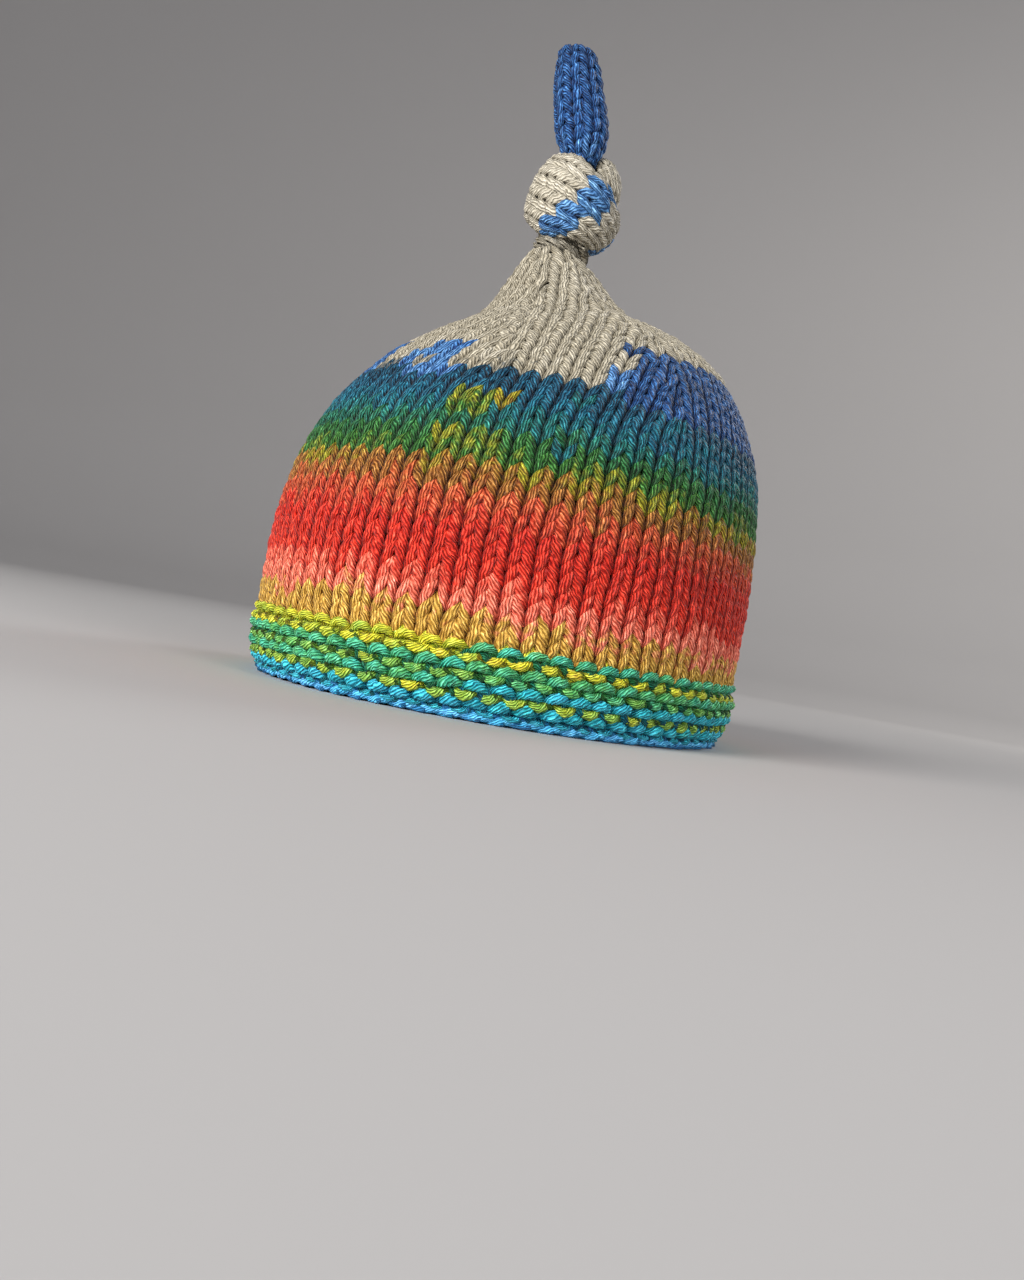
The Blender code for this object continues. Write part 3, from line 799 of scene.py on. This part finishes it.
# Patches where the dye changes along a round: angles, heights, dye, and the share of stitches that took it
PATCHES = (
    (-106, -90, 84, 102, 121, 0.8),
    (-54, -49, 87, 98, 120, 1.0),
    (-48, -42, 91, 104, 98, 1.0),
    (-44, 14, 82, 112, 129, 1.0),
    (-36, -16, 93, 104, 131, 1.0),
    (14, 56, 85, 106, 127, 0.9),
    (84, 122, 89, 112, 127, 0.9),
    (160, 192, 85, 102, 121, 0.9),
    (222, 240, 91, 108, 124, 0.9),
    (-87, -71, 60, 78, 55.6, 0.7),
    (-66, -55, 62, 67, 71, 0.6),
    (-40, -26, 68, 82, 76, 0.6),
    (-63, -55, 77, 82, 72, 0.7),
)
CREAM = 98
CREAM_RANGE = (92, 112)
CREAM_UNEVEN = 2
ROUND_START = 65
DYE_UNEVEN = 1.3
PATCH_UNEVEN = 1.2


def stitch_dyes(turn, height):
    """Where each stitch is in the dye run: by its height, which climbs one row a turn, and by the patches."""
    number = len(height)
    angle = (turn * 360 + ROUND_START + 180) % 360 - 180
    climbed = height + angle / 360 * ROW * MILLIMETRES
    dye = np.minimum(climbed + RANDOM.normal(0, DYE_UNEVEN, number), CREAM)
    for start, end, low, high, shade, taken in PATCHES:
        middle, half = (start + end) / 2, (end - start) / 2
        off = (turn * 360 - middle + 180) % 360 - 180
        near = np.abs(off + RANDOM.normal(0, PATCH_UNEVEN, number)) < half
        inside = near & (height > low) & (height < high) & (RANDOM.random(number) < taken)
        dye = np.where(inside, shade + RANDOM.normal(0, PATCH_UNEVEN, number), dye)
    cream = (dye > CREAM_RANGE[0]) & (dye < CREAM_RANGE[1])
    return np.where(cream, CREAM + RANDOM.normal(0, CREAM_UNEVEN, number), dye)


# How uneven the stitches are, and the least share of its width that a stitch beside a decrease keeps
UNEVEN = {
    "tilt": 0.05,
    "length": 0.03,
    "width": 0.05,
    "shift": 0.02,
    "level": 0.03,
    "thickness": 0.05,
    "lift": 0.0001,
}
NARROWEST = 0.45


def stockinette(first, last):
    """The points and dyes of all the stitches of these rounds."""
    rows, columns, gores, ends = [], [], [], []
    for row in range(first, last):
        count = max(1, round(np.interp(row + FOOT_ROW, ring_rows, gore_stitches)))
        for gore in range(GORES):
            rows += [row] * count
            columns += range(count)
            gores += [gore] * count
            ends += [False] * (count - 1) + [True]
    row, column, gore, at_end = (np.array(values)[:, None] for values in (rows, columns, gores, ends))
    number = len(rows)

    def uneven(kind, about=0):
        return RANDOM.normal(about, UNEVEN[kind], (number, 1))

    across, up = swung(stitch["points"], uneven("tilt"))
    up = up * uneven("length", 1)
    share = across / STITCH * uneven("width", 1) + 0.5 + uneven("shift")
    level = row + FOOT_ROW + up / ROW + uneven("level")
    here = np.interp(level, ring_rows, gore_stitches)
    # The last stitch of a gore narrows where its neighbour is drawn in over it
    cut = column + share * np.maximum(here - column, NARROWEST)
    place = np.where(at_end, cut, column + share) / here
    turn = GORE_START + (gore + place) / GORES
    turn = turn + WANDER * sum(np.sin(up_rate * level + round_rate * turn) for up_rate, round_rate in WANDERS)
    out = stitch["points"][None, :, 2] * uneven("thickness", 1) - SUNK + uneven("lift")
    out = out - TUCK * np.clip(TUCK_TOP - level, 0, 1)
    foot_level = row + FOOT_ROW
    middle = np.minimum((column + 0.5) / np.interp(foot_level, ring_rows, gore_stitches), 1)
    middle_turn = GORE_START + (gore + middle) / GORES
    dye = stitch_dyes(middle_turn[:, 0], (foot_level[:, 0] * ROW + LEG_MIDDLE) * MILLIMETRES)
    return on_skin(crown_form, turn, level * FINE + BEFORE, out), dye


crown_yarn = yarn("red_yarn", contrast=0.88)
peak_first = int(PEAK_ROW)
for name, first, last, node, slot in (
    ("lower_stripes", 0, 10, "crown", "red_yarn"),
    ("upper_stripes", 10, 20, None, "red_yarn"),
    ("drawn_in_rounds", 20, peak_first, None, "cream_yarn"),
    ("peak_stitches", peak_first, ROWS + 2, "peak", "cream_yarn"),
):
    laid, dye = stockinette(first, last)
    piece = lay(name, stitch, laid, dye, crown_yarn)
    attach(piece, "root")
    if node:
        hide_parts(node)

# The back of the crown and peak: purl bumps inside, and the shaded cores of the stitches outside. Its form
# has three rings to a row, and the outer side keeps one of them.
SIDES = 216
PURL_FINE = 3
PURL_BUMP = 0.0004
PURL_CLEARANCE = 0.0001
CORE_SUNK = 0.0022
INSIDE_FOOT = BRIM_TOP - 0.0006
CORE_FOOT = BRIM_TOP - 0.004
rough_rings, _ = evened(crown_and_peak(SIDES), ROW / PURL_FINE, PURL_FINE, 0)
back_rings, back_out = skin(rough_rings)
levels = (np.arange(len(rough_rings)) - PURL_FINE) / PURL_FINE
wall_depth = np.interp(levels, (0, PEAK_ROW, PEAK_ROW + 2), (CROWN_THICKNESS, CROWN_THICKNESS, NECK_WALL))
turns = np.arange(SIDES) / SIDES
bumps = np.cos(2 * math.pi * turns * STITCHES)[None] * np.cos(math.pi * levels)[:, None]
inner_side = back_rings - back_out * (wall_depth[:, None] - PURL_CLEARANCE - PURL_BUMP * bumps)[..., None]
outer_side = back_rings - back_out * CORE_SUNK
inner_side[:, :, 2] = np.maximum(inner_side[:, :, 2], INSIDE_FOOT)
outer_side[:, :, 2] = np.maximum(outer_side[:, :, 2], CORE_FOOT)
wall_levels = np.concatenate([levels[::PURL_FINE], levels[::-1]])
wall_levels = np.broadcast_to(wall_levels[:, None], (len(wall_levels), SIDES))
purl_dye = np.clip(wall_levels * ROW * MILLIMETRES, 0, CREAM)
purl_rings = np.concatenate([outer_side[::PURL_FINE], inner_side[::-1]])
purl_side = wall("purl_side", purl_rings, purl_dye, shade_yarn)
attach(purl_side, "root")

# Knot: the knitted tube itself, tied in an overhand knot and drawn tight. Eleven stitches go round it, and
# it is cream with a slanted band of blue across its front. Its stitches are looser, so that each stands out
# rounder.
KNOT_WIDTH = 0.037
KNOT_DEPTH = 0.037
KNOT_HEIGHT = 0.0415
KNOT_OFFSET = 0.0037
KNOT_ROUND = 11
KNOT_ROW = 0.0041
KNOT_STEPS = 24
GAP = 0.0003

# The tube's way through the knot, as shares of the knot's size, and its width and thickness there
KNOT_FORM = np.array((
    (-0.15, 0.00, 0.00, 1.00, 1.00),
    (0.00, 0.08, 0.22, 0.90, 0.84),
    (0.40, 0.14, 0.42, 0.86, 0.62),
    (0.59, 0.18, 0.68, 1.00, 0.56),
    (0.46, 0.46, 0.85, 0.98, 0.62),
    (-0.10, 0.66, 0.79, 1.08, 0.60),
    (-0.56, 0.34, 0.69, 1.10, 0.58),
    (-0.67, -0.14, 0.58, 1.34, 0.56),
    (-0.34, -0.60, 0.46, 1.46, 0.56),
    (0.15, -0.70, 0.36, 1.26, 0.56),
    (0.54, -0.36, 0.28, 0.96, 0.54),
    (0.56, 0.22, 0.29, 0.88, 0.54),
    (0.18, 0.58, 0.34, 1.06, 0.56),
    (-0.24, 0.34, 0.50, 1.00, 0.74),
    (-0.14, 0.02, 0.68, 0.98, 0.90),
    (-0.06, 0.00, 0.87, 0.80, 0.74),
))
LOOSE_LEG = (
    (-0.00020, -0.0042, -0.0007, 0.0018, 0.0012),
    (0.00060, -0.0028, 0.0004, 0.0032, 0.0020),
    (0.00170, -0.0012, 0.0008, 0.0040, 0.0023),
    (0.00280, 0.0006, 0.0005, 0.0042, 0.0023),
    (0.00385, 0.0024, -0.0003, 0.0040, 0.0020),
    (0.00480, 0.0042, -0.0014, 0.0032, 0.0016),
)
loose_stitch = whole_stitch(strand("loose_leg", 8, LOOSE_LEG))
knot_foot = np.array((0, 0, NECK_TOP)) - LEAN_LINE * NECK_OFFSET
foot_middle = knot_foot + LEAN_LINE * KNOT_OFFSET + (0, 0, GAP)


def knot_place(across, away, rise):
    """A point of the knot from its shares of the knot's half width, half depth and height."""
    level = LEAN_LINE * (across * KNOT_WIDTH / 2) + AWAY_LINE * (away * KNOT_DEPTH / 2)
    return foot_middle + level + (0, 0, rise * KNOT_HEIGHT)


def spline(before, start, end, after, step):
    """A point of the smooth curve through four, between the middle two."""
    return (
        start * 2 + (end - before) * step + (before * 2 - start * 5 + end * 4 - after) * step**2
        + (start * 3 - before - end * 3 + after) * step**3
    ) / 2


upright = np.array((0, 0, KNOT_HEIGHT))
route = [knot_foot + (0, 0, GAP), *(knot_place(*step[:3]) for step in KNOT_FORM[1:])]
route = [route[0] - upright, *route, route[-1] + upright]
line, girths, steps = [], [], []
for i in range(len(KNOT_FORM) - 1):
    for k in range(KNOT_STEPS):
        step = k / KNOT_STEPS
        ease = step * step * (3 - 2 * step)
        line.append(spline(*route[i:i + 4], step))
        girths.append((KNOT_FORM[i, 3:] + (KNOT_FORM[i + 1, 3:] - KNOT_FORM[i, 3:]) * ease) * NECK_DIAMETER)
        steps.append(i + step)
line = np.array(line)
along = np.gradient(line, axis=0)
along /= np.linalg.norm(along, axis=1, keepdims=True)
along[0] = (0, 0, 1)
outward = line - knot_place(0, 0, 0.5)
outward -= along * (outward * along).sum(1, keepdims=True)
outward /= np.linalg.norm(outward, axis=1, keepdims=True)
beside = np.cross(along, outward)

# The same at even lengths along the tube, with as many rings to a row as the crown's form has
length = np.concatenate([[0], np.cumsum(np.linalg.norm(np.diff(line, axis=0), axis=1))])
even = np.arange(0, length[-1], KNOT_ROW / FINE)
line, girths, along, outward, beside = (
    np.stack([np.interp(even, length, column) for column in np.array(values).T], 1)
    for values in (line, girths, along, outward, beside)
)
steps = np.interp(even, length, steps)
widths, thicknesses = girths.T
KNOT_POINTS = KNOT_ROUND * 6
angle = math.pi / 2 - 2 * math.pi * np.arange(KNOT_POINTS) / KNOT_POINTS
knot_rings = (
    line[:, None]
    + beside[:, None] * (widths[:, None] / 2 * np.cos(angle))[..., None]
    + outward[:, None] * (thicknesses[:, None] / 2 * np.sin(angle))[..., None]
)
knot_rings[:, :, 2] = np.maximum(knot_rings[:, :, 2], knot_foot[2] + GAP)
knot_form = skin(knot_rings)

# The knot's dyes by the step of its way, and how many rows the band slants by in a round
KNOT_DYES = (
    (0, 104), (8.69, 105), (8.70, 119), (9.60, 119), (9.61, 105),
    (10.95, 105), (10.96, 119), (11.80, 119), (11.81, 105), (15, 105),
)
BAND_SLANT = 6.6
TUBE_UNEVEN = {"tilt": 0.05, "shift": 0.015, "level": 0.03, "lift": 0.0001, "dye": 1.0}
TUBE_MIDDLE = 0.4
TUBE_MIDDLE_SUNK = 0.0002


def knot_dye(row, turn):
    """The dye of a stitch of the knot, by its row and its turn round the tube."""
    slanted = row + BAND_SLANT * ((turn + 0.5) % 1 - 0.5)
    where = np.interp(slanted * FINE, np.arange(len(steps)), steps)
    return np.interp(where, *zip(*KNOT_DYES))


def tube_stitches(form, rounds, first, last, dye_at, thick, sunk, tall=1):
    """Stitches round a knitted tube: their points, their dyes, their middles and their rows."""
    row, column = np.meshgrid(np.arange(first, last), np.arange(rounds), indexing="ij")
    row, column = row.reshape(-1, 1), column.reshape(-1, 1)
    number = len(row)

    def uneven(kind):
        return RANDOM.normal(0, TUBE_UNEVEN[kind], (number, 1))

    points = loose_stitch["points"]
    across, up = swung(points, uneven("tilt"), tall)
    turn = (column + 0.5 + across / STITCH + uneven("shift")) / rounds
    level = row + up / ROW + uneven("level")
    out = points[None, :, 2] * thick - sunk + uneven("lift")
    laid = on_skin(form, turn, level * FINE, out)
    row, column = row[:, 0], column[:, 0]
    middle_turn, middle_row = (column + 0.5) / rounds, row + TUBE_MIDDLE
    dye = dye_at(middle_row, middle_turn) + RANDOM.normal(0, TUBE_UNEVEN["dye"], number)
    middle = on_skin(form, middle_turn, middle_row * FINE, np.full(number, -TUBE_MIDDLE_SUNK))
    return laid, dye, middle, row


laid, dye, middle, row = tube_stitches(
    knot_form, KNOT_ROUND, 1, int(len(even) / FINE) - 1, knot_dye, thick=0.75, sunk=0.0018, tall=1.1
)

# Stitches that lie inside another turn of the tube are left out, but for the first rounds above the neck
BURIED_BY = 0.001
NEAR = 0.003
ROWS_APART = 5
NECK_ROUNDS = 3
buried = np.zeros(len(middle), bool)
for i in range(0, len(line), 2):
    off = middle - line[i]
    across = (off @ beside[i]) / (widths[i] / 2 - BURIED_BY)
    through = (off @ outward[i]) / (thicknesses[i] / 2 - BURIED_BY)
    inside = (across**2 + through**2 < 1) & (np.abs(off @ along[i]) < NEAR)
    buried |= inside & (np.abs(row * FINE - i) > ROWS_APART * FINE) & (row > NECK_ROUNDS)
knot_yarn = yarn("pale_cream_yarn")
knot_stitches = lay("knot_stitches", loose_stitch, laid[~buried], dye[~buried], knot_yarn)
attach(knot_stitches, "root")
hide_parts("knot")

# The tube's own body, just under its stitches, and how its map is scaled round it
TUBE_SUNK = 0.0024
TUBE_MAP = 90


def core(name, form, dye, material):
    """The closed body of a tube of knitting, from every other ring and point of its form."""
    rings = (form[0] - form[1] * TUBE_SUNK)[::2, ::2]
    count, around = rings.shape[:2]
    points = np.concatenate([rings.reshape(-1, 3), rings[[0, -1]].mean(1)])
    foot, top, head = count * around, (count - 1) * around, count * around + 1
    faces = []
    for k in range(around):
        n = (k + 1) % around
        faces += [(low + k, low + n, low + around + n, low + around + k) for low in range(0, top, around)]
        faces += [(foot, n, k), (head, top + k, top + n)]
    mesh = bpy.data.meshes.new(name)
    mesh.from_pydata(points.tolist(), [], faces)
    corners = points[[corner.vertex_index for corner in mesh.loops]]
    flat = np.stack([corners[:, 0] * TUBE_MAP, corners[:, 2]], 1)
    return knitted(name, mesh, flat, np.concatenate([np.repeat(dye, around), dye[[0, -1]]]), material)


knot_core_dye = knot_dye(np.arange(len(even))[::2] / FINE, 0)
knot_core = core("knot_fabric", knot_form, knot_core_dye, shade_yarn)
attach(knot_core, "root")

# Tail: the end of the tube above the knot, blue, plump and drawn together at its tip. Its foot is squeezed
# between the turns of the knot. Eight stitches go round it.
TAIL_LOW, TAIL_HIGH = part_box("tail")
TAIL_WIDTH = 0.0225
TAIL_DEPTH = 0.0195
TAIL_LEAN = 0.0085
TAIL_STEPS = 120
TAIL_ROUND = 8
TAIL_POINTS = TAIL_ROUND * 8

# Share of the way up, girth and lean
TAIL_FORM = np.array((
    (0.00, 0.60, 0.00),
    (0.08, 0.72, 0.02),
    (0.15, 0.86, 0.06),
    (0.23, 0.96, 0.13),
    (0.33, 1.00, 0.24),
    (0.46, 0.98, 0.42),
    (0.62, 0.93, 0.63),
    (0.76, 0.86, 0.80),
    (0.87, 0.75, 0.92),
    (0.95, 0.55, 0.98),
    (1.00, 0.24, 1.00),
))
TAIL_DYE = 123.5
TAIL_DYE_ROW = 0.5
TAIL_CORE_DYE = 130.0


def tail_dye(row, turn):
    """The dye of a stitch of the tail: a little darker towards its tip."""
    return TAIL_DYE + row * TAIL_DYE_ROW


rise = np.linspace(0, 1, TAIL_STEPS + 1)
girth, lean = flowing(TAIL_FORM, rise).T
angle = 2 * math.pi * np.arange(TAIL_POINTS) / TAIL_POINTS
centre = knot_place(*KNOT_FORM[-1, :3])[None] - LEAN_LINE[None] * (TAIL_LEAN * lean)[:, None]
centre[:, 2] = TAIL_LOW.z + rise * (TAIL_HIGH.z - TAIL_LOW.z)
tail_rings = (
    centre[:, None]
    + LEAN_LINE * (girth[:, None] * TAIL_WIDTH / 2 * np.cos(angle))[..., None]
    + AWAY_LINE * (girth[:, None] * TAIL_DEPTH / 2 * np.sin(angle))[..., None]
)
even_tail, tail_climb = evened(tail_rings, ROW / FINE, 0, 0)
tail_form = skin(even_tail)
tail_rows = int(tail_climb / ROW)
laid, dye = tube_stitches(tail_form, TAIL_ROUND, 0, tail_rows, tail_dye, thick=0.9, sunk=0.0020)[:2]
tail_yarn = yarn("blue_yarn")
tail_stitches = lay("tail_stitches", loose_stitch, laid, dye, tail_yarn)
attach(tail_stitches, "root")
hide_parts("tail")
tail_core = core("tail_fabric", tail_form, np.full(len(even_tail[::2]), TAIL_CORE_DYE), shade_yarn)
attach(tail_core, "root")
